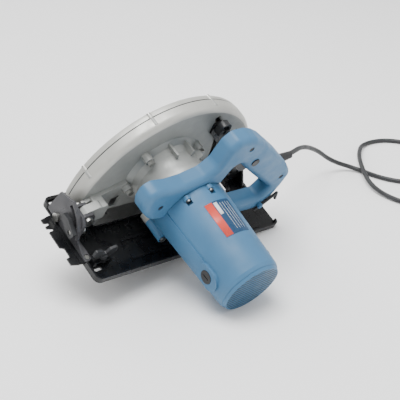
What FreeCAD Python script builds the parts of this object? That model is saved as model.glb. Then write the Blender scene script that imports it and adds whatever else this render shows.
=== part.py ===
import FreeCAD, Part
import math
import os

# Hand-held circular saw with the motor beside the blade, modelled in the saw's own frame:
# X forward along the cut, Y to the operator's left (motor side), Z up from the sole.
# x = 0 is the arbor, y = 0 the middle of the blade, z = 0 the sole of the base.
# One placement at the end lays the finished saw down as it rests on a bench.
V = FreeCAD.Vector

# ---------------------------------------------------------------- driving dimensions, mm
BLADE_R = 117.5          # 235 mm blade
BLADE_T = 1.8
TEETH = 40
ARBOR_Z = 44.0           # arbor above the sole as the depth is set
MOTOR_X = 27.0           # motor axis, ahead of and above the arbor
MODULE = 1.5
PINION_TEETH = 11
GEAR_TEETH = 41
CENTRES = MODULE * (PINION_TEETH + GEAR_TEETH) / 2
MOTOR_Z = ARBOR_Z + math.sqrt(CENTRES ** 2 - MOTOR_X ** 2)

BASE_X0, BASE_X1 = -162.0, 165.0
BASE_Y0, BASE_Y1 = -26.0, 111.0
PLATE = 2.6              # base plate thickness
FLANGE_H = 8.5           # height of the base's turned-up edges
OPEN_X0, OPEN_X1 = -124.0, 124.0   # blade opening
OPEN_Y0, OPEN_Y1 = -17.5, 34.0

CASE_R = 146.0           # rim of the blade case
CASE_X, CASE_Z = 3.0, 27.0
CASE_WALL = 3.5
CASE_RIGHT, CASE_SPLIT, CASE_LEFT = -14.0, -3.0, 15.0
DISH_T = 2.7             # wall of the case's left side

GUARD_R = 122.0          # outside radius of the lower guard
GUARD_T = 1.5
GUARD_HALF = 8.6         # half of its outside width

DRUM_R = 46.0            # gear housing round the motor axis
HOUSING_Y0, HOUSING_Y1 = 62.3, 219.0
HOUSING_R0, HOUSING_R1 = 49.0, 43.0

HANDLE_RIGHT, HANDLE_SPLIT, HANDLE_LEFT = 48.0, 64.0, 88.0
GRIP_RIGHT = 33.0
SHELL = 3.0              # wall of the plastic shells

BEVEL_Y, BEVEL_Z = 9.0, 11.0       # bevel axis, along X
PIVOT_X, PIVOT_Z = 149.0, 36.0     # depth axis, along Y

CORD_D = 7.0
LEAN, PITCH = 28.8, 7.47  # how the saw lies: rolled to the left, then nose up

nodes = {}


# ---------------------------------------------------------------- small helpers
def box(x0, x1, y0, y1, z0, z1):
    return Part.makeBox(x1 - x0, y1 - y0, z1 - z0, V(x0, y0, z0))


def rod(radius, start, end):
    start, end = V(*start), V(*end)
    return Part.makeCylinder(radius, (end - start).Length, start, end - start)


def rod_y(radius, x, z, y0, y1):
    return rod(radius, (x, y0, z), (x, y1, z))


def tube_y(outer, inner, x, z, y0, y1):
    return rod_y(outer, x, z, y0, y1).cut(rod_y(inner, x, z, y0 - 1, y1 + 1))


def turned_y(x, z, profile):
    """Solid of revolution about a line along Y; profile is a list of (radius, y)."""
    points = [V(x + r, y, z) for r, y in profile]
    face = Part.Face(Part.makePolygon(points + points[:1]))
    return face.revolve(V(x, 0, z), V(0, 1, 0), 360)


def rounded_wire(points, radii):
    """Closed wire through the points, each corner rounded by its own radius."""
    count = len(points)
    if not isinstance(radii, (list, tuple)):
        radii = [radii] * count
    edges, ends = [], []
    for i in range(count):
        before, here, after = points[i - 1], points[i], points[(i + 1) % count]
        a, b = (before - here), (after - here)
        half = a.getAngle(b) / 2
        reach = radii[i] / math.tan(half) if radii[i] else 0
        reach = min(reach, 0.49 * a.Length, 0.49 * b.Length)
        a.normalize()
        b.normalize()
        start, end = here + a * reach, here + b * reach
        if reach > 1e-6:
            bisector = (a + b)
            bisector.normalize()
            radius = reach * math.tan(half)
            middle = here + bisector * (radius / math.sin(half) - radius)
            edges.append((start, middle, end))
        ends.append((start, end))
    wire = []
    for i in range(count):
        start, end = ends[i]
        if (start - end).Length > 1e-6:
            wire.append(Part.Arc(*edges_for(edges, start)).toShape())
        following = ends[(i + 1) % count][0]
        if (end - following).Length > 1e-6:
            wire.append(Part.LineSegment(end, following).toShape())
    return Part.Wire(wire)


def edges_for(edges, start):
    return next(e for e in edges if (e[0] - start).Length < 1e-9)


def plate_xz(points, y0, y1, radii=0, inset=0):
    wire = rounded_wire([V(x, y0, z) for x, z in points], radii)
    if inset:
        wire = wire.makeOffset2D(-inset)
    return solid_from(Part.Face(wire), V(0, y1 - y0, 0))


def plate_yz(points, x0, x1, radii=0):
    wire = rounded_wire([V(x0, y, z) for y, z in points], radii)
    return solid_from(Part.Face(wire), V(x1 - x0, 0, 0))


def plate_xy(points, z0, z1, radii=0):
    wire = rounded_wire([V(x, y, z0) for x, y in points], radii)
    return solid_from(Part.Face(wire), V(0, 0, z1 - z0))


def solid_from(face, direction):
    return face.extrude(direction)


def fuse(*shapes):
    return shapes[0].fuse(list(shapes[1:])).removeSplitter()


def group(*shapes):
    """Separate solids kept in one node."""
    return Part.makeCompound(list(shapes))


def arc_points(x, z, radius, start, end, count):
    return [
        (x + radius * math.cos(math.radians(start + (end - start) * i / count)),
         z + radius * math.sin(math.radians(start + (end - start) * i / count)))
        for i in range(count + 1)
    ]


def hexagon_y(across, x, z, y0, y1):
    corner = across / math.sqrt(3)
    return plate_xz(arc_points(x, z, corner, 0, 300, 5), y0, y1)


def cap_screw_y(x, z, head_y, tip_y, head_r=3.6, shank_r=2.0):
    """Pan-head screw along Y; the head stands from head_y away from the tip."""
    out = 1 if head_y > tip_y else -1
    head = rod_y(head_r, x, z, min(head_y, head_y + 2.6 * out), max(head_y, head_y + 2.6 * out))
    slot = box(x - head_r, x + head_r, 0, 1.2, z - 0.5, z + 0.5)
    slot.translate(V(0, (head_y + 2.6 * out) - (1.2 if out > 0 else 0), 0))
    shank = rod_y(shank_r, x, z, min(tip_y, head_y), max(tip_y, head_y))
    return fuse(head, shank).cut(slot)


def rotate_about(shape, centre, axis, degrees):
    turned = shape.copy()
    turned.rotate(V(*centre), V(*axis), degrees)
    return turned


# ---------------------------------------------------------------- base and its fittings
def base_plate():
    outline = [
        (BASE_X0, BASE_Y0), (BASE_X1, BASE_Y0), (BASE_X1, BASE_Y1), (BASE_X0, BASE_Y1)
    ]
    full = plate_xy(outline, 0, FLANGE_H, 9)
    inner = [
        (BASE_X0 + PLATE, BASE_Y0 + PLATE), (BASE_X1 - PLATE, BASE_Y0 + PLATE),
        (BASE_X1 - PLATE, BASE_Y1 - PLATE), (BASE_X0 + PLATE, BASE_Y1 - PLATE)
    ]
    tray = full.cut(plate_xy(inner, PLATE, FLANGE_H + 1, 9 - PLATE))
    # rear edge is flat, and the front edge has no wall where the sight plate lies
    tray = tray.cut(box(BASE_X0 - 1, BASE_X0 + PLATE + 0.1, BASE_Y0 + 9, BASE_Y1 - 9, PLATE, 20))
    tray = tray.cut(box(BASE_X1 - PLATE - 0.1, BASE_X1 + 1, -13, 81, PLATE, 20))
    # wall round the blade opening
    wall = 2.0
    rim = plate_xy(
        [(OPEN_X0 - wall, OPEN_Y0 - wall), (OPEN_X1, OPEN_Y0 - wall), (OPEN_X1 + 5, OPEN_Y0 + 8),
         (OPEN_X1 + 5, OPEN_Y1 - 8), (OPEN_X1 - 3, OPEN_Y1 + wall), (OPEN_X0 - wall, OPEN_Y1 + wall)],
        PLATE - 0.5, PLATE + 5, 4)
    opening = plate_xy(
        [(OPEN_X0, OPEN_Y0), (OPEN_X1, OPEN_Y0), (OPEN_X1 + 3, OPEN_Y0 + 8),
         (OPEN_X1 + 3, OPEN_Y1 - 8), (OPEN_X1 - 4, OPEN_Y1), (OPEN_X0, OPEN_Y1)],
        -1, PLATE + 6, 3)
    tray = fuse(tray, rim.cut(box(OPEN_X1, OPEN_X1 + 9, -60, 60, 0, 20)))
    # pressed stiffening ribs
    for y in (62.0, 92.0):
        rib = box(-120, 96, y - 2, y + 2, PLATE - 0.4, PLATE + 1.2)
        tray = tray.fuse(rib)
    patch = plate_xy([(-132, 94), (-92, 94), (-92, 104), (-132, 104)], PLATE - 0.4, PLATE + 1.0, 3)
    tray = tray.fuse(patch).removeSplitter().cut(opening)
    # slots for the rip fence and for the fence's end stop
    tray = tray.cut(plate_xy([(141, -22), (157, -22), (157, -15), (141, -15)], -1, 9, 2))
    tray = tray.cut(plate_xy([(146, 90), (157, 90), (157, 95), (146, 95)], -1, 9, 2))
    return tray.cut(rivet_ways())


def sight_plate():
    """Plate riveted under the front edge, with the two cutting-line notches."""
    outline = [
        (162, 1), (171, 0), (183.5, 3), (183.5, 9), (177, 10.5), (177, 13.5), (183.5, 14.5),
        (183.5, 18), (176, 20), (176, 22.5), (183.5, 24), (183.5, 49), (178, 52), (178, 66),
        (183.5, 67), (183.5, 77), (173, 79.6), (152, 79.6), (152, 24), (162, 24)
    ]
    plate = plate_xy(outline, PLATE + 0.05, PLATE + 2.25, 0)
    bead = box(168.5, 170.5, 3, 79, PLATE + 2, PLATE + 3.4)
    return fuse(plate, bead).cut(rivet_ways())


def rivet_ways():
    return group(*[rod(1.95, (158, y, -1), (158, y, PLATE + 3)) for y in (28, 74)])


def sight_rivets():
    return group(*[
        fuse(rod(3.2, (158, y, PLATE + 2.25), (158, y, PLATE + 3.9)),
             rod(1.9, (158, y, 0.3), (158, y, PLATE + 2.3)))
        for y in (28, 74)
    ])


def sector_points(inner, outer, start, end, steps=12):
    return (arc_points(BEVEL_Y, BEVEL_Z, outer, start, end, steps)
            + arc_points(BEVEL_Y, BEVEL_Z, inner, end, start, steps))


QUAD_X0, QUAD_X1 = 161.5, 164.5


def bevel_quadrant():
    """Upright plate on the base: pivot hole and arc slot that set the bevel."""
    outline = (
        [(-12, PLATE + 2.4), (-12, 8), (-4, 44)] + arc_points(BEVEL_Y, BEVEL_Z, 45.2, 72, 6, 10)
        + [(70, 9), (80, PLATE + 2.4)]
    )
    plate = plate_yz(outline, QUAD_X0, QUAD_X1, 0)
    foot = box(QUAD_X0 - 8, QUAD_X1, 24, 80, PLATE + 2.3, PLATE + 4.3)
    slot = plate_yz(sector_points(33.6, 40.4, 72, 12), QUAD_X0 - 1, QUAD_X1 + 1, 0)
    rim = plate_yz(sector_points(42.8, 45.2, 74, 8), QUAD_X0, QUAD_X1 + 2.5, 0)
    body = fuse(plate, foot, rim).cut(slot)
    for y in (28, 74):
        body = body.cut(rod(4.2, (158, y, 0), (158, y, 20)))
    return body.cut(rod(4.05, (150, BEVEL_Y, BEVEL_Z), (170, BEVEL_Y, BEVEL_Z)))


def fence_bridge():
    """Strap on the front left of the base that guides the rip fence's bar."""
    strap = box(131, 158, 80, 89, PLATE, PLATE + 9.5)
    bar_way = box(136, 153, 79, 90, PLATE - 0.1, PLATE + 7)
    post = rod(7, (144.5, 84.5, PLATE + 8.5), (144.5, 84.5, PLATE + 12))
    hole = rod(3.05, (144.5, 84.5, PLATE), (144.5, 84.5, PLATE + 13))
    return fuse(strap, post).cut(bar_way).cut(hole)


def fence_screw():
    """Wing screw that clamps the fence bar."""
    top = PLATE + 12.3
    shank = rod(3.0, (144.5, 84.5, PLATE + 7.3), (144.5, 84.5, top + 2))
    hub = rod(5.5, (144.5, 84.5, top), (144.5, 84.5, top + 6))
    wing = plate_xz([(126, top + 8), (133, top + 1), (144.5, top + 1), (156, top + 1),
                     (163, top + 8), (161, top + 17), (151, top + 15), (144.5, top + 7),
                     (138, top + 15), (128, top + 17)], 82.8, 86.2, 2)
    return fuse(shank, hub, wing)


REAR_X0, REAR_X1 = -152.0, -149.0


def rear_bracket():
    """Upright ear on the base's rear that carries the rear bevel pivot."""
    ear = plate_yz([(-10, PLATE), (34, PLATE), (34, 8), (20, 26), (0, 26), (-10, 8)],
                   REAR_X0, REAR_X1, 4)
    foot = box(REAR_X0 - 8, REAR_X1, -10, 34, PLATE, PLATE + 2)
    hole = rod(4.05, (REAR_X0 - 1, BEVEL_Y, BEVEL_Z), (REAR_X1 + 9, BEVEL_Y, BEVEL_Z))
    return fuse(ear, foot).cut(hole)


# ---------------------------------------------------------------- bevel frame
def bevel_pin(x0, x1, head_x, out):
    head = rod(6, (head_x, BEVEL_Y, BEVEL_Z), (head_x + 3.6 * out, BEVEL_Y, BEVEL_Z))
    shank = rod(4.0, (x0, BEVEL_Y, BEVEL_Z), (x1, BEVEL_Y, BEVEL_Z))
    return fuse(head, shank)


def front_bracket():
    """Cast arm that tilts on the quadrant and carries the depth pivot."""
    plate = plate_yz([(2.4, 14), (14, 46), (42, 46), (50, 38), (50, 20), (14, 5.8)], 157.2, 161.2, 2)
    plate = plate.fuse(rod(7.4, (157.2, BEVEL_Y, BEVEL_Z), (161.2, BEVEL_Y, BEVEL_Z)))
    ear = [(157.4, 24), (157.4, 46), (143, 46), (138, 40), (138, 30), (143, 24)]
    right = plate_xz(ear, 20.5, 24.5, 2)
    left = plate_xz(ear, 37.5, 41.5, 2)
    body = fuse(plate, right, left)
    body = body.cut(rod_y(4.0, PIVOT_X, PIVOT_Z, 10, 50))
    body = body.cut(rod(4.05, (150, BEVEL_Y, BEVEL_Z), (170, BEVEL_Y, BEVEL_Z)))
    # hole for the bevel clamp bolt, on the slot's radius
    y, z = clamp_place()
    body = body.cut(rod(6.4, (151, y, z), (157.2, y, z)))
    return body.cut(rod(3.3, (150, y, z), (170, y, z)))


def clamp_place():
    angle = math.radians(20)
    return BEVEL_Y + 37 * math.cos(angle), BEVEL_Z + 37 * math.sin(angle)


ARM_R = 213.5            # depth clamp bolt, from the depth pivot
ARM_ANGLE = 151.2        # where it stands at rest, from +X


def on_depth_arc(radius, degrees):
    a = math.radians(degrees)
    return PIVOT_X + radius * math.cos(a), PIVOT_Z + radius * math.sin(a)


def depth_arm():
    """Arm from the rear bevel pivot up the side of the case to the depth clamp."""
    bolt_x, bolt_z = on_depth_arc(ARM_R, ARM_ANGLE)
    outline = [(-148.7, 8), (-131, 8), (-126, 24), (-96, 64), (bolt_x + 9, bolt_z - 12),
               (bolt_x + 11, bolt_z + 4), (bolt_x + 2, bolt_z + 11), (bolt_x - 10, bolt_z + 4),
               (-118, 70), (-148.7, 32)]
    arm = plate_xz(outline, 15.5, 18.5, 4)
    ear = plate_yz([(2.4, 14), (8, 24), (18.5, 24), (18.5, 8), (14, 5.8)], REAR_X1 + 0.3, REAR_X1 + 4)
    ear = ear.fuse(rod(7.4, (REAR_X1 + 0.3, BEVEL_Y, BEVEL_Z), (REAR_X1 + 4, BEVEL_Y, BEVEL_Z)))
    arm = fuse(arm, ear)
    arm = arm.cut(rod(4.05, (-160, BEVEL_Y, BEVEL_Z), (-120, BEVEL_Y, BEVEL_Z)))
    return arm.cut(rod_y(3.1, bolt_x, bolt_z, 10, 30))


def depth_bolt():
    x, z = on_depth_arc(ARM_R, ARM_ANGLE)
    head = rod_y(7.0, x, z, 9.6, 12.1)
    return fuse(head, rod_y(3.05, x, z, 9.6, 27))


def depth_lever():
    """Ring-shaped lever nut that clamps the depth."""
    x, z = on_depth_arc(ARM_R, ARM_ANGLE)
    hub = tube_y(8.5, 3.1, x, z, 18.7, 30)
    ring = plate_xz([(x - 9, z - 9), (x + 9, z - 9), (x + 9, z + 14), (x - 9, z + 14)], 20, 29, 8)
    ring = ring.cut(rod_y(3.1, x, z, 10, 40))
    window = plate_xz([(x - 5.5, z + 3), (x + 5.5, z + 3), (x + 5.5, z + 10.5), (x - 5.5, z + 10.5)],
                      22.5, 32, 3)
    return hub.fuse(ring).removeSplitter().cut(window)


def bevel_bolt():
    y, z = clamp_place()
    head = rod(6.0, (156.9, y, z), (152.5, y, z))
    return fuse(head, rod(3.2, (156.9, y, z), (172, y, z)))


def bevel_lever():
    """Clamp lever on the front of the quadrant."""
    y, z = clamp_place()
    hub = rod(5.6, (QUAD_X1 + 0.3, y, z), (QUAD_X1 + 9, y, z))
    handle = plate_yz([(y - 6, z - 5), (y + 5, z - 7), (y + 9, z + 3), (y - 10, z + 13),
                       (y - 22, z + 13), (y - 23, z + 6)], QUAD_X1 + 3, QUAD_X1 + 9, 2.5)
    return fuse(hub, handle).cut(rod(3.25, (150, y, z), (180, y, z)))


# ---------------------------------------------------------------- blade case and covers
def hood(radius, y0, y1):
    """Upper part of a disc, with its flat underside above the base."""
    disc = rod_y(radius, CASE_X, CASE_Z, y0, y1)
    return disc.cut(box(-400, 400, -100, 100, -400, 9.5))


def rounded_hood(radius, y0, y1, corner):
    """The same, with the rim at y1 rounded; corner carries the side's sign."""
    bend = [(radius - abs(corner) * (1 - math.cos(math.radians(a))),
             y1 - corner * (1 - math.sin(math.radians(a)))) for a in range(0, 91, 15)]
    disc = turned_y(CASE_X, CASE_Z, [(0, y0), (radius, y0)] + bend + [(0, y1)])
    return disc.cut(box(-400, 400, -100, 100, -400, 9.5))


def reliefs():
    """Room under the case for the 45 degree tilt and for full depth."""
    under = rotate_about(box(-108, 400, -300, 300, -300, 12), (0, BEVEL_Y, BEVEL_Z), (1, 0, 0), -45)
    rear = rotate_about(box(-400, -107, -300, 300, -300, 20), (0, BEVEL_Y, BEVEL_Z), (1, 0, 0), -45)
    return under.fuse(rear).fuse(box(-400, -107, -60, 60, -60, 25))


def blade_case():
    outer = rounded_hood(CASE_R, CASE_SPLIT + 0.25, CASE_LEFT, 9)
    inner = hood(CASE_R - CASE_WALL - 6, CASE_SPLIT - 1, CASE_LEFT - DISH_T)
    inner = inner.fuse(hood(CASE_R - CASE_WALL, CASE_SPLIT - 1, CASE_LEFT - 5))
    inner = inner.fuse(box(-134, 134, CASE_SPLIT - 1, CASE_LEFT - DISH_T, 0, 30))
    case = outer.cut(inner)
    # lip along the lower front edge of the side wall
    lip = plate_xz([(143, 22), (146, 40), (132, 47), (64, 74), (60, 66), (128, 38), (134, 22)],
                   CASE_LEFT - 1, CASE_LEFT + 5, 3)
    lip = lip.cut(rod_y(57.4, MOTOR_X, MOTOR_Z, CASE_LEFT, 40))
    lip = lip.cut(rod_y(6.4, *GEAR_BOLTS[1], CASE_LEFT, 40))
    # front lug for the depth pivot, between the bracket's two ears
    lug = plate_xz([(125, 24), (PIVOT_X, 26), (154.3, 31), (154.3, 41), (PIVOT_X, 46), (125, 52)],
                   25.2, 36.8, 5)
    bridge = plate_xz([(118, 26), (134, 26), (134, 48), (118, 52)], CASE_LEFT - 1, 36.8, 3)
    case = fuse(case, lip, lug, bridge)
    # boss for the blade-side bearing, which also carries the lower guard
    boss = tube_y(27.9, 17.55, 0, ARBOR_Z, 6.6, CASE_LEFT)
    case = fuse(case.cut(rod_y(17.55, 0, ARBOR_Z, 0, 30)), boss)
    case = case.cut(rod_y(12, MOTOR_X, MOTOR_Z, 10, 20))
    case = case.cut(rod_y(4.05, PIVOT_X, PIVOT_Z, 20, 40)).cut(rod_y(6.6, PIVOT_X, PIVOT_Z, 13, 25))
    for x, z in GEAR_BOLTS:
        case = case.cut(rod_y(2.55, x, z, 10, 16))
    case = case.cut(depth_slot())
    # sight window and bevel relief
    window = plate_xz([(78, 14), (92, 14), (92, 30), (78, 34)], 5, 20, 2)
    return case.cut(window).cut(reliefs())


def depth_slot():
    start, end = ARM_ANGLE - 5.0, ARM_ANGLE + 28.4
    outer = [on_depth_arc(ARM_R + 4, start + (end - start) * i / 10) for i in range(11)]
    inner = [on_depth_arc(ARM_R - 4, end - (end - start) * i / 10) for i in range(11)]
    return plate_xz(outer + inner, CASE_LEFT - DISH_T - 1, CASE_LEFT + 2, 0)


def case_cover():
    """Right half of the blade case, open at the bottom for changing the blade."""
    outer = rounded_hood(CASE_R - 0.6, CASE_SPLIT - 0.25, CASE_RIGHT, -6)
    inner = hood(CASE_R - CASE_WALL - 1.5, CASE_RIGHT + 2, CASE_SPLIT + 1)
    inner = inner.fuse(box(-134, 134, CASE_RIGHT + 2, CASE_SPLIT + 1, 0, 36))
    cover = outer.cut(inner).cut(reliefs())
    access = rod_y(40, 0, ARBOR_Z, CASE_RIGHT - 1, CASE_RIGHT + 3)
    return cover.cut(access).cut(box(-140, 140, CASE_RIGHT - 1, CASE_SPLIT, 0, 46))


CASE_SCREW_ANGLES = (20, 62, 100, 150)


def case_screw_place(degrees):
    a = math.radians(degrees)
    return CASE_X + (CASE_R - 2.4) * math.cos(a), CASE_Z + (CASE_R - 2.4) * math.sin(a)


def case_screws():
    """Screws that hold the case's two halves, through lugs on the rim."""
    return [rod_y(2.7, *case_screw_place(d), -12, -9.6).fuse(rod_y(1.5, *case_screw_place(d), -9.7, 5))
            for d in CASE_SCREW_ANGLES]


def with_screw_lugs(shape, y0, y1):
    for degrees in CASE_SCREW_ANGLES:
        shape = shape.fuse(rod_y(3.3, *case_screw_place(degrees), y0, y1))
    return shape.removeSplitter()


GEAR_BOLTS = [(72, 108), (82, 56), (-14, 108), (-39, 35.5)]
MOTOR_SCREWS = [(90, 46.4), (48, 46.4), (170, 46.4), (-54, 54)]   # angle and radius on the motor axis
LOCK_X, LOCK_Z = -22.0, 56.0       # spindle-lock pin


def on_motor(degrees, radius):
    a = math.radians(degrees)
    return MOTOR_X + radius * math.cos(a), MOTOR_Z + radius * math.sin(a)


def gear_housing():
    """Cast housing for the gears, bolted to the case; the motor bolts to its left end."""
    y0 = CASE_LEFT + 0.05
    drum = rod_y(DRUM_R, MOTOR_X, MOTOR_Z, y0, 62)
    collar = rod_y(49, MOTOR_X, MOTOR_Z, 54, 62)
    flare = turned_y(MOTOR_X, MOTOR_Z, [(0, y0), (57, y0), (49, y0 + 5), (DRUM_R, y0 + 14), (0, y0 + 14)])
    low = rod_y(35.2, 0, ARBOR_Z, y0, 33.4)
    ear = rod_y(6.2, *on_motor(-54, 54), 50, 62).fuse(rod_y(6.2, *on_motor(-54, 48), 50, 62))
    body = fuse(drum, collar, flare, low, ear)
    for degrees in (75, 105, 135, 160):
        rib = box(DRUM_R - 6, DRUM_R + 8, 0, 22, -1.5, 1.5)
        rib.rotate(V(0, 0, 0), V(0, 1, 0), -degrees)
        rib.translate(V(MOTOR_X, y0 + 0.5, MOTOR_Z))
        body = body.fuse(rib)
    for x, z in GEAR_BOLTS:
        body = body.fuse(rod_y(6, x, z, y0, y0 + 12))
    body = body.fuse(rod_y(5.4, LOCK_X, LOCK_Z, 30, 36)).removeSplitter()
    body = body.cut(rod_y(42.5, MOTOR_X, MOTOR_Z, y0 - 1, 49))
    body = body.cut(rod_y(32.8, 0, ARBOR_Z, y0 - 1, 31))
    body = body.fuse(rod_y(14.5, 0, ARBOR_Z, 31, 43)).removeSplitter()
    body = body.cut(rod_y(11.05, 0, ARBOR_Z, 30, 41.2))
    body = body.cut(rod_y(16.05, MOTOR_X, MOTOR_Z, 40, 59.7)).cut(rod_y(9, MOTOR_X, MOTOR_Z, 40, 70))
    body = body.cut(box(-80, 100, 0, 80, 0, 9.4))
    for x, z in GEAR_BOLTS:
        body = body.cut(rod_y(2.6, x, z, y0 - 1, y0 + 13)).cut(rod_y(4.8, x, z, y0 + 12, y0 + 30))
    for degrees, radius in MOTOR_SCREWS:
        body = body.cut(rod_y(1.75, *on_motor(degrees, radius), 54.1, 63))
    return body.cut(rod_y(3.1, LOCK_X, LOCK_Z, 14, 40))


def gear_bolts():
    bolts = []
    for x, z in GEAR_BOLTS:
        y = CASE_LEFT + 12.1
        head = hexagon_y(8, x, z, y, y + 5)
        bolts.append(fuse(head, rod_y(2.5, x, z, CASE_LEFT - 2.5, y)))
    return group(*bolts)


# ---------------------------------------------------------------- blade, spindle and gears
def involute_gear(teeth, x, z, y0, y1, phase, bore, addendum=0.6, dedendum=1.05, thin=0.10):
    pitch = MODULE * teeth / 2
    base = pitch * math.cos(math.radians(20))
    root, tip = pitch - dedendum * MODULE, pitch + addendum * MODULE

    def roll(radius):
        ratio = max(radius / base, 1.0)
        t = math.sqrt(ratio * ratio - 1)
        return t - math.atan(t)

    half = math.pi / (2 * teeth) - thin / pitch / 2 + roll(pitch)
    points = []
    for i in range(teeth):
        centre = phase + 2 * math.pi * i / teeth
        flank = [(root, half - roll(root))] + [
            (r, half - roll(r)) for r in (max(base, root + 0.2), pitch, tip)]
        for r, a in flank:
            points.append((x + r * math.cos(centre - a), z + r * math.sin(centre - a)))
        for r, a in reversed(flank):
            points.append((x + r * math.cos(centre + a), z + r * math.sin(centre + a)))
    wheel = plate_xz(points, y0, y1)
    return wheel.cut(rod_y(bore, x, z, y0 - 1, y1 + 1))


MESH = math.atan2(MOTOR_Z - ARBOR_Z, MOTOR_X)


def driven_gear():
    wheel = involute_gear(GEAR_TEETH, 0, ARBOR_Z, 18.6, 29.8, MESH, 10.05)
    for i in range(6):
        a = math.atan2(LOCK_Z - ARBOR_Z, LOCK_X) + i * math.pi / 3
        r = math.hypot(LOCK_X, LOCK_Z - ARBOR_Z)
        wheel = wheel.cut(rod_y(3.3, r * math.cos(a), ARBOR_Z + r * math.sin(a), 10, 40))
    return wheel


def pinion():
    phase = MESH + math.pi + math.pi / PINION_TEETH
    return involute_gear(PINION_TEETH, MOTOR_X, MOTOR_Z, 17.5, 31, phase, 4.05)


def blade():
    points = []
    for i in range(TEETH):
        a = 2 * math.pi * i / TEETH
        step = 2 * math.pi / TEETH
        for radius, turn in ((BLADE_R, 0.0), (BLADE_R - 1.2, 0.22), (BLADE_R - 7, 0.62), (BLADE_R - 6.5, 0.93)):
            points.append((radius * math.cos(a + turn * step), ARBOR_Z + radius * math.sin(a + turn * step)))
    disc = plate_xz(points, -BLADE_T / 2, BLADE_T / 2)
    disc = disc.cut(rod_y(12.7, 0, ARBOR_Z, -3, 3))
    for i in range(4):
        slot = box(BLADE_R - 26, BLADE_R - 4, -3, 3, -0.6, 0.6)
        slot.rotate(V(0, 0, 0), V(0, 1, 0), 90 * i + 31.5)
        slot.translate(V(0, 0, ARBOR_Z))
        disc = disc.cut(slot)
    return disc


def spindle():
    shaft = fuse(rod_y(8, 0, ARBOR_Z, -0.6, 7.5), rod_y(10, 0, ARBOR_Z, 7.5, 30), rod_y(6, 0, ARBOR_Z, 30, 40.5))
    return shaft.cut(rod_y(4.05, 0, ARBOR_Z, -2, 20))


def inner_flange():
    disc = fuse(rod_y(24, 0, ARBOR_Z, 1.0, 6.0), rod_y(12.6, 0, ARBOR_Z, -0.6, 1.0), rod_y(12, 0, ARBOR_Z, 6.0, 7.4))
    return disc.cut(rod_y(8.05, 0, ARBOR_Z, -3, 9))


def outer_flange():
    disc = fuse(rod_y(24, 0, ARBOR_Z, -3.2, -1.0), rod_y(15, 0, ARBOR_Z, -4.6, -3.2))
    return disc.cut(rod_y(4.1, 0, ARBOR_Z, -9, 0))


def blade_bolt():
    return fuse(hexagon_y(13, 0, ARBOR_Z, -10.5, -4.7), rod_y(4.0, 0, ARBOR_Z, -4.7, 16))


def ring_bearing(outer, inner, x, z, y0, y1):
    """Ball bearing drawn as its two rings and the sealed space between them."""
    ring = tube_y(outer, inner, x, z, y0, y1)
    groove = tube_y(outer - (outer - inner) * 0.3, inner + (outer - inner) * 0.3, x, z, y0 - 1, y0 + 0.5)
    other = groove.copy()
    other.translate(V(0, y1 - y0 + 0.5, 0))
    return ring.cut(groove).cut(other)


# ---------------------------------------------------------------- lower guard
def guard_sector(radius, start, end, y0, y1):
    """Pie slice about the arbor, angles from +X towards +Z."""
    points = [(0, ARBOR_Z)] + arc_points(0, ARBOR_Z, radius, start, end, 24)
    return plate_xz(points, y0, y1)


GUARD_START, GUARD_END = 183.0, 352.0


def lower_guard():
    """Channel round the lower half of the blade, turning on the case's boss."""
    shell = rod_y(GUARD_R, 0, ARBOR_Z, -GUARD_HALF, GUARD_HALF)
    shell = shell.cut(rod_y(GUARD_R - GUARD_T, 0, ARBOR_Z, -GUARD_HALF + GUARD_T, GUARD_HALF - GUARD_T))
    keep = guard_sector(GUARD_R + 20, GUARD_START, GUARD_END, -30, 30)
    shell = shell.common(keep)
    shell = shell.cut(rod_y(66, 0, ARBOR_Z, -20, -GUARD_HALF + GUARD_T + 0.5))
    web = rod_y(36, 0, ARBOR_Z, GUARD_HALF - GUARD_T, GUARD_HALF)
    guard = fuse(shell, web)
    return guard.cut(rod_y(27.95, 0, ARBOR_Z, -20, 20))


def guard_lever():
    """Finger knob for drawing the guard back."""
    a = math.radians(330)
    x, z = 100 * math.cos(a), ARBOR_Z + 100 * math.sin(a)
    return fuse(rod_y(3.4, x, z, GUARD_HALF - 0.5, GUARD_HALF + 5), rod_y(5, x, z, GUARD_HALF + 3, GUARD_HALF + 6.4))


def guard_ring():
    """Retaining ring in front of the guard's hub."""
    return tube_y(30.5, 24.6, 0, ARBOR_Z, 5.4, 6.5)


def guard_spring():
    """Return spring wound round the hub, outside the guard's side wall."""
    return tube_y(34, 28.6, 0, ARBOR_Z, GUARD_HALF + 0.3, GUARD_HALF + 3.0)


# ---------------------------------------------------------------- motor
BRUSH_Y = 182.0
BRUSH_ANGLES = (-6.6, 173.4)


def barrel_radius(y):
    return HOUSING_R0 - (HOUSING_R0 - HOUSING_R1) * (y - HOUSING_Y0) / (211 - HOUSING_Y0)


def radial_rod(radius, degrees, r0, r1, y):
    start, end = on_motor(degrees, r0), on_motor(degrees, r1)
    return rod(radius, (start[0], y, start[1]), (end[0], y, end[1]))


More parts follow.
